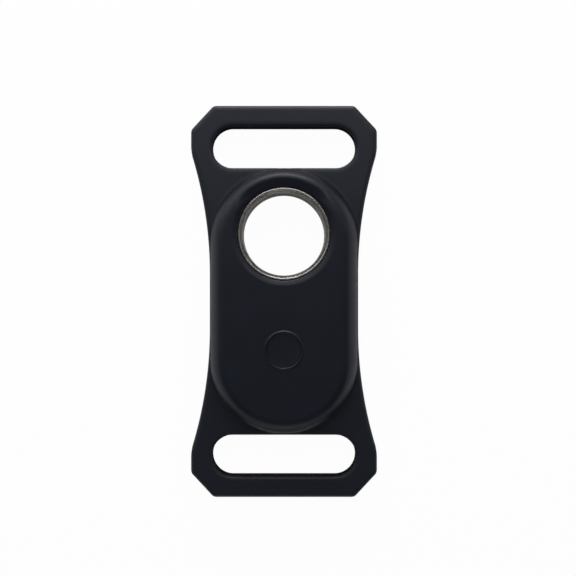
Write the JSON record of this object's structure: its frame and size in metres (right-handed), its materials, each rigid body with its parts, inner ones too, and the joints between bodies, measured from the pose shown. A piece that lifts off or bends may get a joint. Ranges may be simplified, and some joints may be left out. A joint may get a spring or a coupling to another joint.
{
  "type": "tracker tag holder",
  "caption": "Soft sleeve for a flat tracker tag: waisted frame with a strap slot at each end, domed pocket with a round ring hole and a press pad, and the tag with its battery tray inside.",
  "frame": {"origin": "centre of the part's box, on the plane of its flat back", "axes": "+Z out of the front face, +Y towards the end with the ring hole, +X across, to the right when the front is seen with the ring hole up"},
  "size_m": [0.0396, 0.0832, 0.0104],
  "materials": {
    "silicone": "satin moulded silicone",
    "tag_shell": "fine matt texture",
    "seal": "smooth",
    "ring_steel": "fine turned",
    "cell_steel": "bright nickel",
    "cell_inside": "pressed pellet",
    "spring_metal": "gold plated",
    "board": "solder mask",
    "chip": "moulded epoxy",
    "can_metal": "tinned",
    "ceramic": "fired ceramic",
    "ferrite": "filled film",
    "carrier": "fine matt texture"
  },
  "bodies": {
    "sleeve": {"holder_sleeve": "silicone"},
    "pad": {"press_pad": "silicone"},
    "tag": {"tag_front_cover": "tag_shell", "tag_rear_cover": "tag_shell", "housing_gasket": "seal", "ring_liner": "ring_steel", "positive_contact": "spring_metal", "negative_contact": "spring_metal", "main_board": "board", "switch_body": "chip", "switch_dome": "can_metal", "radio_chip": "chip", "bluetooth_chip": "chip", "power_chip": "chip", "clock_crystals": "can_metal", "board_passives": "ceramic", "shield_can": "can_metal", "sounder_case": "chip", "sounder_diaphragm": "spring_metal", "sounder_contacts": "spring_metal", "antenna_carrier": "carrier", "wideband_antenna": "spring_metal", "bluetooth_antenna": "spring_metal", "reader_coil": "spring_metal", "ferrite_sheet": "ferrite"},
    "button": {"button_cap": "tag_shell", "button_seal": "seal"},
    "tray": {"battery_tray": "tag_shell", "tray_seal": "seal", "cell_can": "cell_steel", "cell_cap": "cell_steel", "cell_gasket": "carrier", "cell_stack": "cell_inside"}
  },
  "joints": [
    {"name": "tag_slide", "type": "slide", "parent": "sleeve", "child": "tag", "axis": [0, 0, -1], "range_m": [0, 0.014], "deforming": ["holder_sleeve"]},
    {"name": "button_press", "type": "slide", "parent": "tag", "child": "button", "axis": [0, 0, -1], "range_m": [0, 0.0003], "stiffness_N_per_m": 1000, "springref_m": -0.001, "deforming": ["switch_dome"]},
    {"name": "pad_press", "type": "slide", "parent": "sleeve", "child": "pad", "axis": [0, 0, -1], "range_m": [0, 0.0003]},
    {"name": "tray_lift", "type": "slide", "parent": "tag", "child": "tray", "axis": [0, 0, -1], "range_m": [0, 0.008]}
  ],
  "couplings": [
    {"joint": "pad_press", "follows": "button_press", "ratio": 1}
  ]
}
